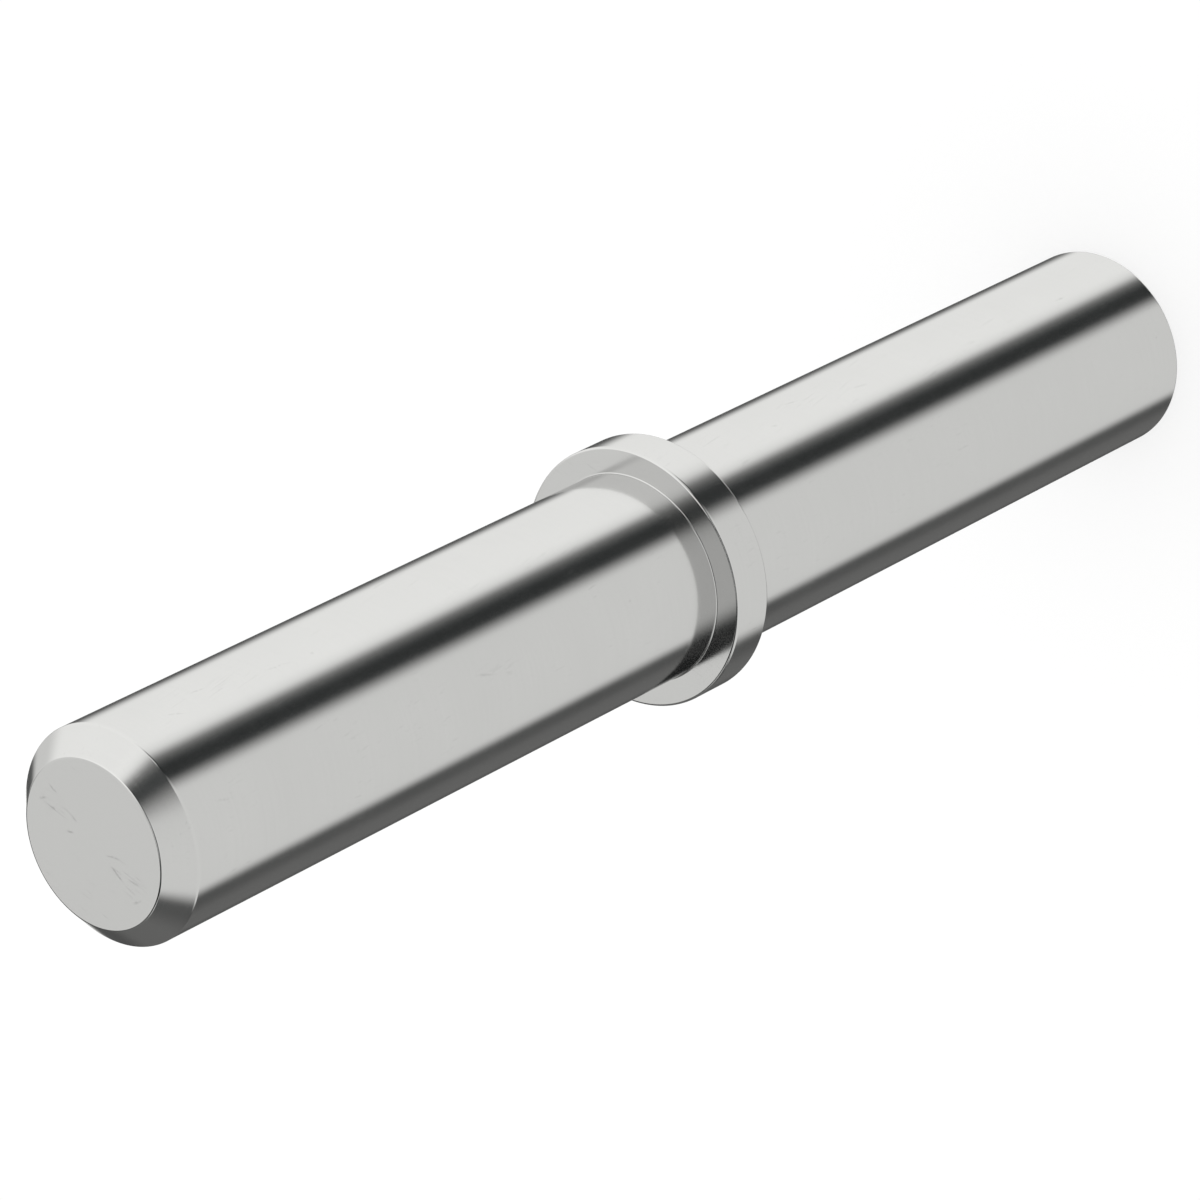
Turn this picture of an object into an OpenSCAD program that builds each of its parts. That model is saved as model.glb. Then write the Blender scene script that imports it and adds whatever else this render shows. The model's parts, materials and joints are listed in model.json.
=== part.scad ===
// Positioning pin, turned and ground from one bar: two shanks with a thin collar between them.
// The pin stands on the flat end of its lower shank, with its axis along +Z.
// The origin is at the centre of that end.

/* [Shanks] */
// Diameter of the lower shank, which is pressed into its plate
lower_d = 8; // [4:0.5:20]
// Length of the lower shank, from its flat end to the collar
lower_len = 27.5; // [8:0.5:60]
// Diameter of the upper shank, which the located part slides over
upper_d = 8; // [4:0.5:20]
// Length of the upper shank, from the collar to its chamfered end
upper_len = 28.35; // [8:0.05:60]

/* [Collar] */
// Thickness of the collar
collar_t = 1.75; // [0.6:0.05:6]
// How far the collar stands out from the wider shank
collar_step = 1; // [0.4:0.1:4]

/* [Ends and edges] */
// Width of the lead-in chamfer on the end face of the upper shank
lead_w = 0.9; // [0.3:0.1:1.6]
// Angle between the lead-in chamfer and the axis
lead_angle = 45; // [15:5:60]
// Radius on the edge of the flat end of the lower shank
foot_r = 0.1; // [0.02:0.01:0.3]
// Radius on the two edges of the lead-in chamfer
lead_r = 0.1; // [0.02:0.01:0.3]
// Radius on the two edges of the collar
rim_r = 0.1; // [0.02:0.01:0.2]
// Radius in the corner where each shank meets the collar
root_r = 0.05; // [0.02:0.01:0.2]

/* [Hidden] */

steel = "silver";

// Facets in a full turn, for the preview only
$fn = 96;

// Heights of the collar's two faces, of the foot of the chamfer and of the top
seat_z = lower_len;
shoulder_z = seat_z + collar_t;
top_z = shoulder_z + upper_len;
lead_z = top_z - lead_w / tan(lead_angle);

// Radii of the turned surfaces
lower_r = lower_d / 2;
upper_r = upper_d / 2;
collar_r = max(lower_r, upper_r) + collar_step;

// Directions in the half section, as angles from the outward radius
UP = 90;
IN = 180;
DOWN = 270;
LEAD_UP = UP + lead_angle;
LEAD_DOWN = DOWN + lead_angle;

// Unit vector at an angle in the half section
function heading(angle) = [cos(angle), sin(angle)];

// Cuts one outer corner of a section back to an arc.
// The sides leave the corner at the angles first and last, turning anticlockwise through the metal.
module ease(corner, first, last, r) {
    half = (last - first) / 2;
    run = r / tan(half);
    middle = heading(first + half) * r / sin(half);
    difference() {
        children();
        translate(corner)
            polygon([run * heading(first), middle, run * heading(last), -middle]);
    }
    translate(corner + middle) circle(r);
}

// Fillet in the inner corner between a shank and a face of the collar.
// It fills the side above the face, or the side below it where side is -1.
module root_fillet(corner, side) {
    translate(corner)
        difference() {
            square(2 * root_r, center = true);
            translate([root_r, side * root_r]) circle(root_r);
        }
}

module lower_section() {
    ease([lower_r, 0], UP, IN, foot_r)
        square([lower_r, seat_z]);
}

module collar_section() {
    ease([collar_r, shoulder_z], IN, DOWN, rim_r)
        ease([collar_r, seat_z], UP, IN, rim_r)
            translate([0, seat_z]) square([collar_r, collar_t]);
}

module upper_section() {
    ease([upper_r - lead_w, top_z], IN, LEAD_DOWN, lead_r)
        ease([upper_r, lead_z], LEAD_UP, DOWN, lead_r)
            polygon([
                [0, shoulder_z],
                [upper_r, shoulder_z],
                [upper_r, lead_z],
                [upper_r - lead_w, top_z],
                [0, top_z],
            ]);
}

// Half section of the whole pin
module section() {
    lower_section();
    collar_section();
    upper_section();
    root_fillet([lower_r, seat_z], -1);
    root_fillet([upper_r, shoulder_z], 1);
}

module positioning_pin() {
    color(steel)
        rotate_extrude() section();
}

positioning_pin();
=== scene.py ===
# Positioning pin: the turned and ground pin, its steel, and the white studio it stands in.
# The pin stands on the flat end of its lower shank, with its axis along +Z. Lengths are in metres.
import json
import math
from typing import NamedTuple

import bmesh
import bpy
from mathutils import Matrix, Quaternion, Vector


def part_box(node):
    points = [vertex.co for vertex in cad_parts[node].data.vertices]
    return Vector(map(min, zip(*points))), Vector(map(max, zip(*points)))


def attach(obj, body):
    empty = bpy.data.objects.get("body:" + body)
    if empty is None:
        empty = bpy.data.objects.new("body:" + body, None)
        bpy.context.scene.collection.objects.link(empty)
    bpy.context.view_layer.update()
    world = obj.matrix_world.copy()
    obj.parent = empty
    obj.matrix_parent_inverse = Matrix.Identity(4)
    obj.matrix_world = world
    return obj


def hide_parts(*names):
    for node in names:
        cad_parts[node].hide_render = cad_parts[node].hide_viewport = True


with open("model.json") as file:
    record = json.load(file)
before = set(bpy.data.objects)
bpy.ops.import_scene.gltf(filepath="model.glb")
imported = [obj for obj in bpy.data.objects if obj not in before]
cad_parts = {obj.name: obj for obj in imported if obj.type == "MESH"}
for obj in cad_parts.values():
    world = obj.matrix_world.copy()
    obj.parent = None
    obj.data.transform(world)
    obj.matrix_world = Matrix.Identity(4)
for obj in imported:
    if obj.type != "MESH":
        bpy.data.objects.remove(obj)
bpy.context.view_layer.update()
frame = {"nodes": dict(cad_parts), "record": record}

bl_info = {
    "name": "Positioning pin",
    "version": (1, 0, 0),
    "blender": (4, 5, 0),
    "location": "View3D > Sidebar > Pin",
    "description": "Turns a collared steel positioning pin and sets it in a white studio",
    "category": "Add Mesh",
}

MM = 0.001
NODE = "positioning_pin"

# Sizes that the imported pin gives: its mounts hold the radii and the heights of its faces
MOUNTS = {mount["name"]: mount for mount in frame["record"]["mounts"]}
BOX_LOW, BOX_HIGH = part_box(NODE)
COLLAR_RADIUS = max(math.hypot(v.co.x, v.co.y) for v in frame["nodes"][NODE].data.vertices)

# Sides of the turned pin, and strips across each rounded edge
FACETS = 256
ARC_STRIPS = 5
# Area in square metres above any face of a rounded edge and below any other face of the pin
STRIP_AREA = 1e-8
# How far a vertex may be from the ring that it belongs to
NEAR = 1e-6
QUARTER = math.radians(90)
UP = Vector((0, 0, 1))


def length_prop(name, description, default):
    return bpy.props.FloatProperty(
        name=name,
        description=description,
        default=default,
        min=0,
        precision=5,
        subtype="DISTANCE",
        unit="LENGTH",
    )


def angle_prop(name, description, degrees):
    return bpy.props.FloatProperty(
        name=name,
        description=description,
        default=math.radians(degrees),
        subtype="ANGLE",
        unit="ROTATION",
    )


def share_prop(name, description, default):
    return bpy.props.FloatProperty(
        name=name,
        description=description,
        default=default,
        min=0,
        max=1,
        precision=3,
        subtype="FACTOR",
    )


def level_prop(name, description, default):
    return bpy.props.FloatProperty(
        name=name,
        description=description,
        default=default,
        min=0,
        precision=3,
    )


def colour_prop(name, description, default):
    return bpy.props.FloatVectorProperty(
        name=name,
        description=description,
        default=default,
        min=0,
        max=1,
        size=3,
        subtype="COLOR",
    )


class PinSizes(bpy.types.PropertyGroup):
    """Sizes of the turned pin"""

    lower_radius: length_prop(
        "Lower shank radius",
        "Radius of the shank that is pressed into its plate",
        MOUNTS["lower_shank"]["dims"]["r_mm"] * MM,
    )
    upper_radius: length_prop(
        "Upper shank radius",
        "Radius of the shank that the located part slides over",
        MOUNTS["upper_shank"]["dims"]["r_mm"] * MM,
    )
    collar_radius: length_prop("Collar radius", "Outer radius of the collar", COLLAR_RADIUS)
    seat_height: length_prop(
        "Seat height",
        "Height of the collar's lower face above the foot",
        MOUNTS["seat"]["pos_m"][2],
    )
    shoulder_height: length_prop(
        "Shoulder height",
        "Height of the collar's upper face above the foot",
        MOUNTS["shoulder"]["pos_m"][2],
    )
    top_height: length_prop(
        "Top height",
        "Height of the chamfered end above the foot",
        BOX_HIGH.z - BOX_LOW.z,
    )
    lead_width: length_prop("Lead-in width", "Width of the chamfer on the end face", 0.9 * MM)
    lead_angle: angle_prop("Lead-in angle", "Angle between the chamfer and the axis", 45)
    end_arc: length_prop(
        "End edge radius",
        "Radius on the edges of the foot and the lead-in chamfer",
        0.1 * MM,
    )
    rim_arc: length_prop("Rim edge radius", "Radius on the two edges of the collar's rim", 0.1 * MM)
    root_arc: length_prop(
        "Root radius",
        "Radius in the corners between the collar and the shanks",
        0.05 * MM,
    )


class PinFinish(bpy.types.PropertyGroup):
    """Finish of the ground steel"""

    steel: colour_prop("Steel", "Colour of the bare steel", (0.612, 0.612, 0.609))
    ring_tone: share_prop("Ring contrast", "How much the grinding rings change the steel's colour", 0.03)
    cloud_tone: share_prop("Cloud contrast", "How much the cloudy sheen changes the steel's colour", 0.04)
    scuff_tone: share_prop("Scuff contrast", "How much darker the scuffs are than the steel", 0.045)
    mark_tone: share_prop("Scratch contrast", "How much darker the scratches are than the steel", 0.095)
    wear_tone: share_prop("Edge contrast", "How much lighter the rubbed edges are than the steel", 0.02)
    polish: share_prop("Roughness", "Roughness of the ground steel between its marks", 0.135)
    ring_rough: share_prop("Ring roughness", "How much the grinding rings change the roughness", 0.03)
    cloud_rough: share_prop("Cloud roughness", "How much the cloudy sheen changes the roughness", 0.05)
    scuff_rough: share_prop("Scuff roughness", "How much rougher the scuffs are", 0.06)
    mark_rough: share_prop("Scratch roughness", "How much rougher the scratches are", 0.1)
    wear_polish: share_prop("Edge polish", "How much smoother the rubbed edges are", 0.02)
    grain_depth: length_prop("Grain depth", "Depth of the grinding marks", 0.00015 * MM)


class PinStudio(bpy.types.PropertyGroup):
    """Camera and surroundings"""

    camera_distance: length_prop(
        "Camera distance",
        "From the camera to the point that it aims at",
        224.01 * MM,
    )
    camera_height: angle_prop("Camera elevation", "Angle of the view above the horizon", 44.66)
    camera_bearing: angle_prop("Camera azimuth", "Angle of the view around the pin", 0.083)
    camera_roll: angle_prop("Camera roll", "Turn of the camera about its own view", 116.437)
    camera_lens: level_prop("Lens", "Focal length in millimetres on a 36 mm sensor", 184.765)
    aim_side: length_prop(
        "Aim, sideways",
        "How far beside the axis the camera aims, towards -X",
        0.2244 * MM,
    )
    aim_height: length_prop("Aim, height", "Height of the point that the camera aims at", 31.197 * MM)
    floor_radius: length_prop("Floor radius", "Radius of the white floor", 1.5)
    floor_white: share_prop("Floor colour", "Share of the light that the floor returns by itself", 0.4)
    floor_lift: share_prop("Floor lift", "Brightness that the floor shows beside the light it returns", 0.63)
    wall_level: level_prop("White wall", "Brightness of the white walls that the steel mirrors", 0.905)
    box_level: level_prop(
        "Bright box",
        "Brightness of the light box on the left, against the walls",
        1.36,
    )
    black_level: level_prop("Black screen", "Brightness of the black screen, against the walls", 0.045)
    dark_level: level_prop(
        "Dark screen",
        "Brightness of the dark screen on the right, against the walls",
        0.13,
    )


# Shader expressions


class Wire:
    """An output socket that can be used in arithmetic, which adds the Math nodes."""

    def __init__(self, shader, socket):
        self.shader = shader
        self.socket = socket

    def out(self, name):
        """Another output of the same node."""
        return Wire(self.shader, self.socket.node.outputs[name])

    def math(self, operation, *others):
        return self.shader.math(operation, self, *others)

    def __add__(self, other):
        return self.math("ADD", other)

    def __sub__(self, other):
        return self.math("SUBTRACT", other)

    def __rsub__(self, other):
        return self.shader.math("SUBTRACT", other, self)

    def __mul__(self, other):
        return self.math("MULTIPLY", other)

    __radd__ = __add__
    __rmul__ = __mul__


class Shader:
    """A node tree that is written from inputs to output."""

    def __init__(self, owner):
        owner.use_nodes = True
        self.tree = owner.node_tree
        self.tree.nodes.clear()

    def node(self, kind, settings=None, values=None):
        """Adds a node with settings, then values or links to its sockets, and returns its first output."""
        node = self.tree.nodes.new(kind)
        for name, setting in (settings or {}).items():
            setattr(node, name, setting)
        for name, value in (values or {}).items():
            if isinstance(name, int):
                socket = node.inputs[name]
            else:
                socket = next(s for s in node.inputs if s.name == name and s.enabled)
            if isinstance(value, Wire):
                self.tree.links.new(value.socket, socket)
            else:
                socket.default_value = value
        return Wire(self, next(o for o in node.outputs if o.enabled)) if node.outputs else None

    def math(self, operation, *values):
        return self.node("ShaderNodeMath", {"operation": operation}, dict(enumerate(values)))

    def vector(self, operation, *values):
        return self.node("ShaderNodeVectorMath", {"operation": operation}, dict(enumerate(values)))

    def scaled(self, vector, scale):
        return self.node("ShaderNodeVectorMath", {"operation": "SCALE"}, {0: vector, "Scale": scale})

    def coordinates(self, kind):
        return self.node("ShaderNodeTexCoord").out(kind)

    def split(self, vector):
        """The three parts of a vector."""
        parts = self.node("ShaderNodeSeparateXYZ", values={0: vector})
        return parts, parts.out("Y"), parts.out("Z")

    def join(self, x, y, z):
        return self.node("ShaderNodeCombineXYZ", values={0: x, 1: y, 2: z})

    def mix(self, share, first, second):
        """The first colour where share is 0 and the second where it is 1."""
        return self.node("ShaderNodeMix", {"data_type": "RGBA"}, {"Factor": share, "A": first, "B": second})

    def ease(self, value, low, high, kind="SMOOTHSTEP"):
        """0 below low, 1 above high, and a smooth rise between them."""
        sockets = {0: value, 1: low, 2: high, 3: 0.0, 4: 1.0}
        return self.node("ShaderNodeMapRange", {"interpolation_type": kind}, sockets)

    def between(self, value, rise, fall):
        """0 before the rise and after the fall, and 1 between them."""
        return self.ease(value, *rise) * (1 - self.ease(value, *fall))

    def noise(self, vector, detail=2.0):
        """Noise from 0 to 1, mostly near the middle, with features one unit of the vector wide."""
        return self.node("ShaderNodeTexNoise", values={"Vector": vector, "Scale": 1.0, "Detail": detail})

    def measured_in(self, vector, turn, size, centre=(0, 0, 0)):
        """A place measured in a turned frame, in units of the given size along each of its axes."""
        return self.node(
            "ShaderNodeMapping",
            {"vector_type": "TEXTURE"},
            {"Vector": vector, "Location": centre, "Rotation": turn, "Scale": size},
        )


def blend(first, second, share):
    """The first value where share is 0 and the second where it is 1."""
    return first + share * (second - first)


# The pin


class Ring(NamedTuple):
    """A ring where the pin's outline turns, rounded to an arc. The turn is negative in an inner corner."""

    radius: float
    height: float
    arc: float
    turn: float


def outline(sizes):
    """The rings of the pin's outline, from its foot up."""
    lead_height = sizes.top_height - sizes.lead_width / math.tan(sizes.lead_angle)
    tip_radius = sizes.upper_radius - sizes.lead_width
    return (
        Ring(sizes.lower_radius, 0, sizes.end_arc, QUARTER),
        Ring(sizes.lower_radius, sizes.seat_height, sizes.root_arc, -QUARTER),
        Ring(sizes.collar_radius, sizes.seat_height, sizes.rim_arc, QUARTER),
        Ring(sizes.collar_radius, sizes.shoulder_height, sizes.rim_arc, QUARTER),
        Ring(sizes.upper_radius, sizes.shoulder_height, sizes.root_arc, -QUARTER),
        Ring(sizes.upper_radius, lead_height, sizes.end_arc, sizes.lead_angle),
        Ring(tip_radius, sizes.top_height, sizes.end_arc, QUARTER - sizes.lead_angle),
    )


def on_ring(point, ring):
    return abs(point.z - ring.height) < NEAR and abs(math.hypot(point.x, point.y) - ring.radius) < NEAR


def select_ring(pin, ring):
    """Selects the edges of one turned ring."""
    bpy.ops.mesh.select_all(action="DESELECT")
    mesh = bmesh.from_edit_mesh(pin.data)
    for edge in mesh.edges:
        if all(on_ring(vert.co, ring) for vert in edge.verts):
            edge.select = True
    bmesh.update_edit_mesh(pin.data)


def select_upper_end(pin):
    """Selects the flat face at the upper end of what is turned so far."""
    bpy.ops.mesh.select_all(action="DESELECT")
    mesh = bmesh.from_edit_mesh(pin.data)
    max(mesh.faces, key=lambda face: face.calc_center_median().z).select = True
    bmesh.update_edit_mesh(pin.data)


def select_turned_faces(pin):
    """Selects the walls, the flat faces and the chamfer, and leaves out the strips of the rounded edges."""
    bpy.ops.mesh.select_all(action="DESELECT")
    mesh = bmesh.from_edit_mesh(pin.data)
    for face in mesh.faces:
        if face.calc_area() > STRIP_AREA:
            face.select = True
    bmesh.update_edit_mesh(pin.data)


def carry_on(rise, ratio):
    """Carries the selected end up by a rise and widens it by a ratio, with a new wall behind it."""
    bpy.ops.mesh.extrude_region_move(TRANSFORM_OT_translate={"value": (0, 0, rise)})
    if ratio != 1:
        bpy.ops.transform.resize(value=(ratio, ratio, 1), center_override=(0, 0, 0))


def round_ring(pin, ring):
    """Rounds one ring to its arc."""
    select_ring(pin, ring)
    run = ring.arc * math.tan(abs(ring.turn) / 2)
    bpy.ops.mesh.bevel(offset=run, segments=ARC_STRIPS, profile=0.5, affect="EDGES")


def turn_pin(sizes):
    """Turns the pin from its foot up, then rounds its edges and corners."""
    bpy.ops.object.select_all(action="DESELECT")
    bpy.ops.mesh.primitive_cylinder_add(
        vertices=FACETS,
        radius=sizes.lower_radius,
        depth=sizes.seat_height,
        end_fill_type="NGON",
        location=(0, 0, sizes.seat_height / 2),
    )
    pin = bpy.context.object
    pin.name = pin.data.name = "ground_pin"
    bpy.ops.object.transform_apply(location=True)

    bpy.ops.object.mode_set(mode="EDIT")
    select_upper_end(pin)
    rings = outline(sizes)
    for ring, next_ring in zip(rings[1:], rings[2:]):
        carry_on(next_ring.height - ring.height, next_ring.radius / ring.radius)
    for ring in rings:
        round_ring(pin, ring)

    bpy.ops.mesh.select_all(action="SELECT")
    bpy.ops.mesh.normals_make_consistent(inside=False)
    bpy.ops.mesh.faces_shade_smooth()
    select_turned_faces(pin)
    bpy.ops.mesh.set_normals_from_faces()
    bpy.ops.object.mode_set(mode="OBJECT")
    return pin


# The steel. Its lengths are in millimetres, and the angles of its marks in degrees.

# Scratches and nicks from handling. On the end face: place, length, and angle from +X
END_MARKS = (
    (2.3, 0.6, 0.5, 24), (2.2, 1.3, 0.4, 81), (1.7, 1.0, 0.5, 39), (1.2, 0.35, 0.65, 18),
    (0.75, 0.8, 0.45, 59), (-0.65, -0.6, 0.7, 60), (-1.2, -0.4, 0.8, 17), (-1.75, -1.0, 0.65, 43),
    (-2.35, -0.65, 0.55, 84),
)
# On the shanks: bearing towards -X, height, length, and lean from the axis
SHANK_MARKS = (
    (-42, 49.4, 1.15, 8), (-51, 52.7, 0.85, 7), (-43, 54.4, 0.7, 29), (-40, 47.8, 0.2, 0),
    (-42, 16.8, 0.8, 10), (-54, 20.0, 0.7, 16), (-43, 22.0, 0.35, 17), (-36, 4.5, 0.7, 0),
    (11, 41.7, 1.1, 17), (15, 40.6, 0.3, 10), (8, 55.0, 0.9, 12), (10, 1.1, 0.12, 0),
    (10, 33.8, 0.14, 0), (75, 12.0, 1.0, 9), (118, 38.0, 0.9, 12), (160, 20.5, 1.1, 8),
    (-150, 44.0, 0.8, 14), (-100, 9.0, 0.7, 6), (-95, 35.0, 1.2, 11), (205, 51.0, 0.6, 20),
)
MARK_WIDTH = 0.12
# Patches of faint rubbing around them: on the end face, then on the shanks
END_RUBS = ((1.8, 0.85, 2.0, 32), (-1.5, -0.7, 2.2, 30))
SHANK_RUBS = (
    (-46, 51.8, 5.0, 12), (-47, 18.8, 6.0, 12), (11, 41.0, 3.0, 15), (-30, 36.0, 4.0, 8),
    (150, 15.0, 7.0, 10),
)
RUB_WIDTH = 1.3
# How far marks and patches reach above and below the surface
MARK_REACH = 0.4
# Where marks and patches fade out, from 0 in their middle to 1 at their edge and beyond
MARK_FADE = (0.0, 1.3)
RUB_FADE = (0.3, 1.0)
# How far the scratches stray from straight lines, and the levels over which a noise breaks them up
STRAY = 0.07
BREAK_LEVELS = (0.3, 0.6)
# Noise features to a millimetre: in the straying and the breaks of the scratches, in the cloudy sheen, and
# in the rings of grinding, across the axis and along it
STRAY_FINENESS = 5.0
BREAK_FINENESS = 7.0
CLOUD_FINENESS = 0.4
RING_DRIFT = 0.3
RING_FINENESS = 9
# The turn in radians and the size of the fine streaks, on the walls and on the flat faces
WALL_STREAKS = (0.14, -0.1, 0), (0.1, 0.1, 1.4)
FACE_STREAKS = (0, 0, 0.6), (0.9, 0.07, 1.4)
# The upright parts of the normals over which the walls pass into the flat faces
FLAT_NORMALS = (0.8, 0.95)
# Levels of the streaks and of the clouds over which scuffs show, and of the streaks in a rubbed patch
SCUFF_STREAKS = (0.62, 0.76)
SCUFF_CLOUDS = (0.42, 0.6)
RUB_STREAKS = (0.54, 0.7)
# Distances from the sharp edges over which their rubbing fades
WEAR_FADE = (0.02, 0.1)
# The level that noise varies around
MIDDLE = 0.5
# How much of the grain's depth the rings and the streaks have
RING_RELIEF = 0.5
STREAK_RELIEF = 0.4
# Tint of what the steel mirrors at grazing angles
GRAZING_TINT = (0.85, 0.85, 0.85, 1.0)


def on_end(sizes, x, y, angle):
    """The middle of a mark on the end face, its direction and the face's own."""
    angle = math.radians(angle)
    return Vector((x, y, sizes.top_height / MM)), Vector((math.cos(angle), math.sin(angle), 0)), UP


def on_shank(sizes, bearing, height, lean):
    """The middle of a mark on a shank, its direction and the wall's own."""
    bearing, lean = math.radians(bearing), math.radians(lean)
    outward = Vector((-math.sin(bearing), -math.cos(bearing), 0))
    around = Vector((-math.cos(bearing), math.sin(bearing), 0))
    middle = outward * sizes.upper_radius / MM + UP * height
    return middle, UP * math.cos(lean) - around * math.sin(lean), outward


def reach(shader, place, spot, length, width):
    """How far a place is from the middle of a stroke or patch on the surface: 0 there and 1 at its edge."""
    centre, along, outward = spot
    turn = Matrix((along, outward.cross(along), outward)).transposed().to_euler("XYZ")
    size = (length / 2, width / 2, MARK_REACH)
    return shader.vector("LENGTH", shader.measured_in(place, turn, size, centre))


def nearest(distances):
    """The smallest of several distances."""
    least = distances[0]
    for other in distances[1:]:
        least = least.math("MINIMUM", other)
    return least


def nearest_mark(shader, place, sizes, end_marks, shank_marks, width):
    """How far a place is from the nearest of the marks: 0 in its middle and 1 at its edge."""
    spots = [(on_end(sizes, x, y, angle), length) for x, y, length, angle in end_marks]
    spots += [(on_shank(sizes, bearing, z, lean), length) for bearing, z, length, lean in shank_marks]
    return nearest([reach(shader, place, spot, length, width) for spot, length in spots])


def handling_marks(shader, place, sizes):
    """A mask of the scratches and nicks, and a mask of the rubbed patches."""
    stray = shader.scaled(shader.noise(shader.scaled(place, STRAY_FINENESS)).out("Color"), STRAY)
    strayed = shader.vector("ADD", place, stray)
    strokes = nearest_mark(shader, strayed, sizes, END_MARKS, SHANK_MARKS, MARK_WIDTH)
    breaks = shader.noise(shader.scaled(place, BREAK_FINENESS))
    marks = (1 - shader.ease(strokes, *MARK_FADE)) * shader.ease(breaks, *BREAK_LEVELS)
    patches = nearest_mark(shader, place, sizes, END_RUBS, SHANK_RUBS, RUB_WIDTH)
    return marks, 1 - shader.ease(patches, *RUB_FADE)


def edge_wear(shader, radius, height, sizes):
    """A mask of the bright lines where the outer edges are rubbed."""
    here = shader.join(radius, height, 0.0)
    edges = [ring for ring in outline(sizes) if ring.turn > 0]
    distances = [shader.vector("DISTANCE", here, (edge.radius / MM, edge.height / MM, 0)) for edge in edges]
    return 1 - shader.ease(nearest(distances), *WEAR_FADE)


def steel_material(finish, sizes):
    """Ground steel: fine rings around the axis, cloudy sheen, rubbed edges and the scratches of handling."""
    material = bpy.data.materials.new("ground_steel")
    shader = Shader(material)
    place = shader.scaled(shader.coordinates("Object"), 1 / MM)
    x, y, z = shader.split(place)
    radius = (x * x + y * y).math("SQRT")
    outward_z = shader.split(shader.coordinates("Normal"))[2]
    flat = shader.ease(outward_z.math("ABSOLUTE"), *FLAT_NORMALS)

    # The lay of the grinding runs around the axis on the walls, and in circles on the flat faces
    lay = shader.join(x * RING_DRIFT, y * RING_DRIFT, (z - radius) * RING_FINENESS)
    rings = shader.noise(lay, detail=3.0)
    clouds = shader.noise(shader.scaled(place, CLOUD_FINENESS), detail=3.0)
    wall_streaks = shader.noise(shader.measured_in(place, *WALL_STREAKS))
    face_streaks = shader.noise(shader.measured_in(place, *FACE_STREAKS))
    streaks = blend(wall_streaks, face_streaks, flat)
    marks, rubbed = handling_marks(shader, place, sizes)
    scuffs = shader.ease(streaks, *SCUFF_STREAKS) * shader.ease(clouds, *SCUFF_CLOUDS)
    scuffs = scuffs.math("MAXIMUM", shader.ease(streaks, *RUB_STREAKS) * rubbed)
    wear = edge_wear(shader, radius, z, sizes)

    tone = (
        (rings - MIDDLE) * finish.ring_tone
        + (clouds - MIDDLE) * finish.cloud_tone
        - scuffs * finish.scuff_tone
        - marks * finish.mark_tone
        + wear * finish.wear_tone
        + 1
    )
    roughness = (
        (clouds - MIDDLE) * finish.cloud_rough
        + (rings - MIDDLE) * finish.ring_rough
        + scuffs * finish.scuff_rough
        + marks * finish.mark_rough
        - wear * finish.wear_polish
        + finish.polish
    )
    height = rings * RING_RELIEF + streaks * STREAK_RELIEF
    bump = shader.node("ShaderNodeBump", values={"Distance": finish.grain_depth, "Height": height})
    surface = shader.node(
        "ShaderNodeBsdfPrincipled",
        values={
            "Base Color": shader.scaled(tuple(finish.steel), tone),
            "Metallic": 1.0,
            "Roughness": roughness,
            "Specular Tint": GRAZING_TINT,
            "Normal": bump,
        },
    )
    shader.node("ShaderNodeOutputMaterial", values={"Surface": surface})
    return material


# The studio. Its screens have a bearing, in degrees around the pin from the camera's side towards -X, and an
# elevation, in degrees above the horizon. A pair of angles is where a soft edge starts and where it ends.

FLOOR_SIDES = 128
SENSOR_WIDTH = 36
# How near and how far the camera sees
CLIP_START = 0.01
CLIP_END = 10
# The bearings run from half a turn less than this to half a turn more, with the seam in the bright box
MIDDLE_BEARING = 80
# Elevations over which the share of each part of the room rises from 0 to 1, to stay 1 above them
PARTS = {
    "low": (-43.0, -20.0, "LINEAR"),
    "middle": (-20.0, 20.0),
    "shoulder": (31.0, 36.0),
    "high": (37.0, 42.0),
    "overhead": (45.0, 51.0),
}
# The edges around the room: what each one leads from and to, the weight of its step, its bearings below the
# low part, and how far the full share of a part moves its start and its end
EDGES = (
    ("box", "black", 0.5, (-59.2, -47.0), {}),
    ("box", "black", 0.5, (-70.0, -36.0), {}),
    ("black", "wall", 1.0, (-27.5, -8.5), {"overhead": (0, 28)}),
    ("wall", "dark", 1.0, (90.6, 105.9), {"middle": (-2, -2), "high": (-15, 3)}),
    ("dark", "wall", 1.0, (200.0, 224.0), {"low": (-8, -22), "shoulder": (-27, -27), "high": (-10, -2)}),
    ("wall", "box", 1.0, (211.0, 226.0), {}),
)
# How much brighter each screen is in the high part than below it
BOX_GAIN = 0.09
BLACK_GAIN = 0.03
DARK_GAIN = -0.11
# The two screens are open in places, so that the flat end stays light in views from the sides. The black one
# is open below its high part, above these elevations and before these bearings.
BLACK_OPENING_FOOT = (5.0, 12.0)
BLACK_OPENING_END = (-41.0, -36.0)
# The dark one is open below its high part too, above a slanting edge and before these bearings. The edge is
# where a share of the bearing and the elevation add up to these angles. Above the last elevations the dark
# screen ends.
DARK_OPENING_SLANT = 0.72
DARK_OPENING_FOOT = (103.0, 113.0)
DARK_OPENING_END = (122.0, 132.0)
DARK_TOP = (58.0, 64.0)
# A lighter sheen on the dark screen, below its high part: its bearings and how much lighter it is
SHEEN_BEARINGS = (108.0, 132.0), (148.0, 164.0)
SHEEN_GAIN = 0.08
# A lit gap low down behind the pin: its bearings and elevations, the bearings over which it goes from as
# bright as the walls to its brightest, and how bright that is, against the box
GAP_BEARINGS = (170.0, 177.5), (182.0, 185.3)
GAP_ELEVATIONS = (-50.0, -44.0), (-34.5, -27.5)
GAP_STEP = (178.5, 180.5)
GAP_GAIN = 1.45
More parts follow.
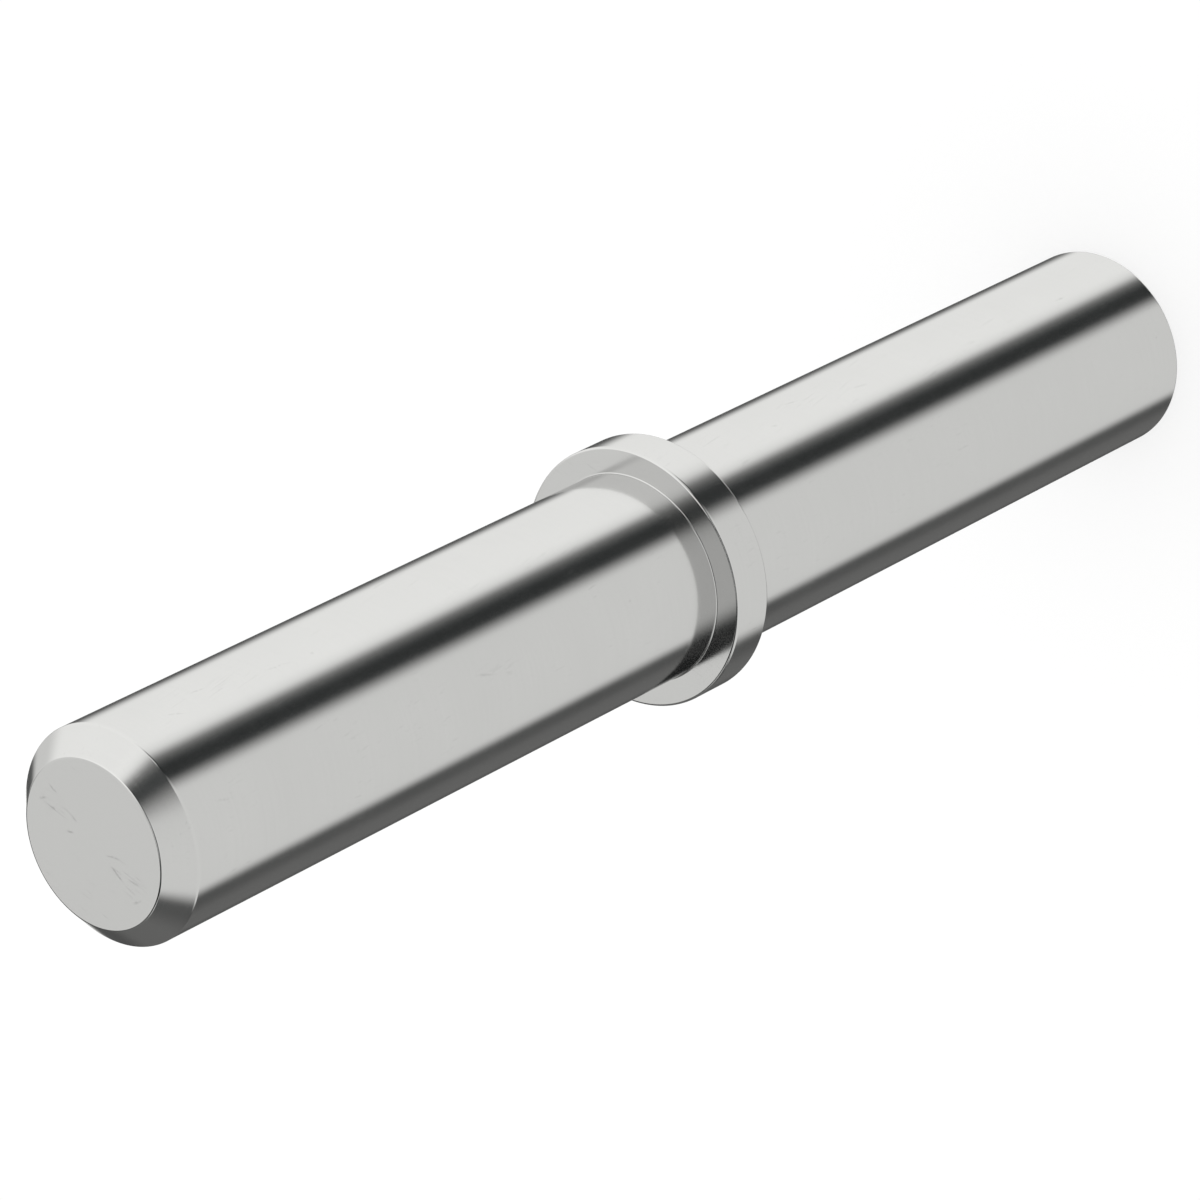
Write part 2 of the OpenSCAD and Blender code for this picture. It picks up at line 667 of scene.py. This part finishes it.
# A dark screen overhead, above the walls and the dark screen: its bearings, its lower edge and its level
CANOPY_BEARINGS = (-26.0, -10.0), (180.0, 195.0)
CANOPY_FOOT = (52.0, 56.0)
CANOPY_LEVEL = 0.08
# The elevation of its top, the width of the soft edge there, and how much lower the top gets over these
# bearings
CANOPY_TOP = 84
CANOPY_TOP_WIDTH = 4
CANOPY_DROP = 14
CANOPY_DROP_BEARINGS = (90.0, 120.0)
# Tints of the dark and the bright parts of the room, and the levels over which one passes into the other
WHITE = (1.0, 1.0, 1.0, 1.0)
DARK_TINT = (0.93, 1.0, 1.0, 1.0)
BRIGHT_TINT = (1.0, 1.0, 0.982, 1.0)
TINT_LEVELS = (0.05, 0.16)


def studio_floor(studio):
    """A wide floor that the camera sees white where nothing shades it, with the pin's soft shadow."""
    bpy.ops.object.select_all(action="DESELECT")
    bpy.ops.mesh.primitive_circle_add(vertices=FLOOR_SIDES, radius=studio.floor_radius, fill_type="NGON")
    floor = bpy.context.object
    floor.name = floor.data.name = "studio_floor"
    floor.visible_glossy = False
    material = bpy.data.materials.new("white_floor")
    shader = Shader(material)
    path = shader.node("ShaderNodeLightPath")
    lift = (path + path.out("Is Glossy Ray") + path.out("Is Transmission Ray")) * studio.floor_lift
    surface = shader.node(
        "ShaderNodeBsdfPrincipled",
        values={
            "Base Color": (*[studio.floor_white] * 3, 1.0),
            "Roughness": 1.0,
            "Specular IOR Level": 0.0,
            "Emission Color": shader.join(lift, lift, lift),
            "Emission Strength": 1.0,
        },
    )
    shader.node("ShaderNodeOutputMaterial", values={"Surface": surface})
    floor.data.materials.append(material)


def ray_angles(shader):
    """The bearing and the elevation of a ray into the room."""
    x, y, z = shader.split(shader.coordinates("Generated"))
    turn = math.radians(MIDDLE_BEARING)
    ahead = y * -math.cos(turn) - x * math.sin(turn)
    aside = y * math.sin(turn) - x * math.cos(turn)
    bearing = aside.math("ARCTAN2", ahead) * math.degrees(1) + MIDDLE_BEARING
    return bearing, z.math("ARCSINE") * math.degrees(1)


def screen_levels(shader, studio, bearing, elevation, high):
    """How bright the walls, the box and the two screens are, against the walls."""
    box = high * BOX_GAIN + studio.box_level

    opening = shader.between(elevation, BLACK_OPENING_FOOT, PARTS["high"])
    opening = opening * (1 - shader.ease(bearing, *BLACK_OPENING_END))
    black = opening * (1 - studio.black_level) + high * BLACK_GAIN + studio.black_level

    sheen = shader.between(bearing, *SHEEN_BEARINGS) * (1 - high)
    dark = sheen * SHEEN_GAIN + high * DARK_GAIN + studio.dark_level
    opening = shader.ease(bearing * DARK_OPENING_SLANT + elevation, *DARK_OPENING_FOOT) * (1 - high)
    opening = opening * (1 - shader.ease(bearing, *DARK_OPENING_END))
    dark = blend(blend(dark, 1, opening), 1, shader.ease(elevation, *DARK_TOP))
    return {"wall": 1, "box": box, "black": black, "dark": dark}


def room_level(shader, studio, bearing, elevation):
    """How bright the room is in a direction, against the white walls."""
    parts = {name: shader.ease(elevation, *rise) for name, rise in PARTS.items()}
    levels = screen_levels(shader, studio, bearing, elevation, parts["high"])
    level = levels["box"]
    for before, after, weight, (start, end), moves in EDGES:
        for part, (start_move, end_move) in moves.items():
            start = start + parts[part] * start_move
            end = end + parts[part] * end_move
        level = level + shader.ease(bearing, start, end) * weight * (levels[after] - levels[before])

    gap = shader.between(bearing, *GAP_BEARINGS) * shader.between(elevation, *GAP_ELEVATIONS)
    lit = blend(1, levels["box"] * GAP_GAIN, shader.ease(bearing, *GAP_STEP))
    level = blend(level, lit, gap)

    top = CANOPY_TOP - shader.ease(bearing, *CANOPY_DROP_BEARINGS) * CANOPY_DROP
    canopy = shader.between(elevation, CANOPY_FOOT, (top - CANOPY_TOP_WIDTH, top))
    canopy = canopy * shader.between(bearing, *CANOPY_BEARINGS)
    return blend(level, CANOPY_LEVEL, canopy)


def studio_world(studio):
    """A white room for the camera and for soft light, with screens in it that only the steel mirrors."""
    world = bpy.data.worlds.new("white_room")
    bpy.context.scene.world = world
    world.cycles.sampling_method = "NONE"
    shader = Shader(world)
    level = room_level(shader, studio, *ray_angles(shader))
    glossy = shader.node("ShaderNodeLightPath").out("Is Glossy Ray")
    screens = shader.mix(shader.ease(level, *TINT_LEVELS), DARK_TINT, BRIGHT_TINT)
    background = shader.node(
        "ShaderNodeBackground",
        values={
            "Color": shader.mix(glossy, WHITE, screens),
            "Strength": blend(1, level * studio.wall_level, glossy),
        },
    )
    shader.node("ShaderNodeOutputWorld", values={"Surface": background})


def studio_camera(studio):
    """The camera at the photograph's angle, rolled so that the standing pin lies across the picture."""
    scene = bpy.context.scene
    bpy.ops.object.camera_add()
    camera = bpy.context.object
    camera.name = camera.data.name = "studio_camera"
    rise, turn = studio.camera_height, studio.camera_bearing
    back = Vector((math.sin(turn) * math.cos(rise), -math.cos(turn) * math.cos(rise), math.sin(rise)))
    camera.location = Vector((-studio.aim_side, 0, studio.aim_height)) + back * studio.camera_distance
    camera.rotation_mode = "QUATERNION"
    roll = Quaternion((0, 0, 1), -studio.camera_roll)
    camera.rotation_quaternion = (-back).to_track_quat("-Z", "Y") @ roll
    camera.data.lens = studio.camera_lens
    camera.data.sensor_width = SENSOR_WIDTH
    camera.data.clip_start = CLIP_START
    camera.data.clip_end = CLIP_END
    scene.camera = camera
    scene.view_settings.view_transform = "Standard"


class PIN_OT_turn(bpy.types.Operator):
    """Turn the pin and give it its steel"""

    bl_idname = "positioning_pin.turn"
    bl_label = "Turn the pin"
    bl_options = {"REGISTER", "UNDO"}

    def execute(self, context):
        pin = turn_pin(context.scene.pin_sizes)
        pin.data.materials.append(steel_material(context.scene.pin_finish, context.scene.pin_sizes))
        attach(pin, "root")
        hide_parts(NODE)
        return {"FINISHED"}


class PIN_OT_studio(bpy.types.Operator):
    """Set up the floor, the room and the camera"""

    bl_idname = "positioning_pin.studio"
    bl_label = "Set up the studio"
    bl_options = {"REGISTER", "UNDO"}

    def execute(self, context):
        studio = context.scene.pin_studio
        studio_camera(studio)
        studio_floor(studio)
        studio_world(studio)
        return {"FINISHED"}


class PIN_PT_sidebar(bpy.types.Panel):
    """Lists the pin's sizes, finish and studio"""

    bl_idname = "PIN_PT_sidebar"
    bl_label = "Positioning pin"
    bl_space_type = "VIEW_3D"
    bl_region_type = "UI"
    bl_category = "Pin"

    def draw(self, context):
        for group, operator in (
            (context.scene.pin_sizes, None),
            (context.scene.pin_finish, PIN_OT_turn.bl_idname),
            (context.scene.pin_studio, PIN_OT_studio.bl_idname),
        ):
            column = self.layout.column(align=True)
            for name in group.__annotations__:
                column.prop(group, name)
            if operator:
                self.layout.operator(operator)


CLASSES = (PinSizes, PinFinish, PinStudio, PIN_OT_turn, PIN_OT_studio, PIN_PT_sidebar)


def register():
    for cls in CLASSES:
        bpy.utils.register_class(cls)
    bpy.types.Scene.pin_sizes = bpy.props.PointerProperty(type=PinSizes)
    bpy.types.Scene.pin_finish = bpy.props.PointerProperty(type=PinFinish)
    bpy.types.Scene.pin_studio = bpy.props.PointerProperty(type=PinStudio)


def unregister():
    del bpy.types.Scene.pin_studio
    del bpy.types.Scene.pin_finish
    del bpy.types.Scene.pin_sizes
    for cls in reversed(CLASSES):
        bpy.utils.unregister_class(cls)


def main():
    register()
    bpy.ops.positioning_pin.studio()
    bpy.ops.positioning_pin.turn()


if __name__ == "__main__":
    main()
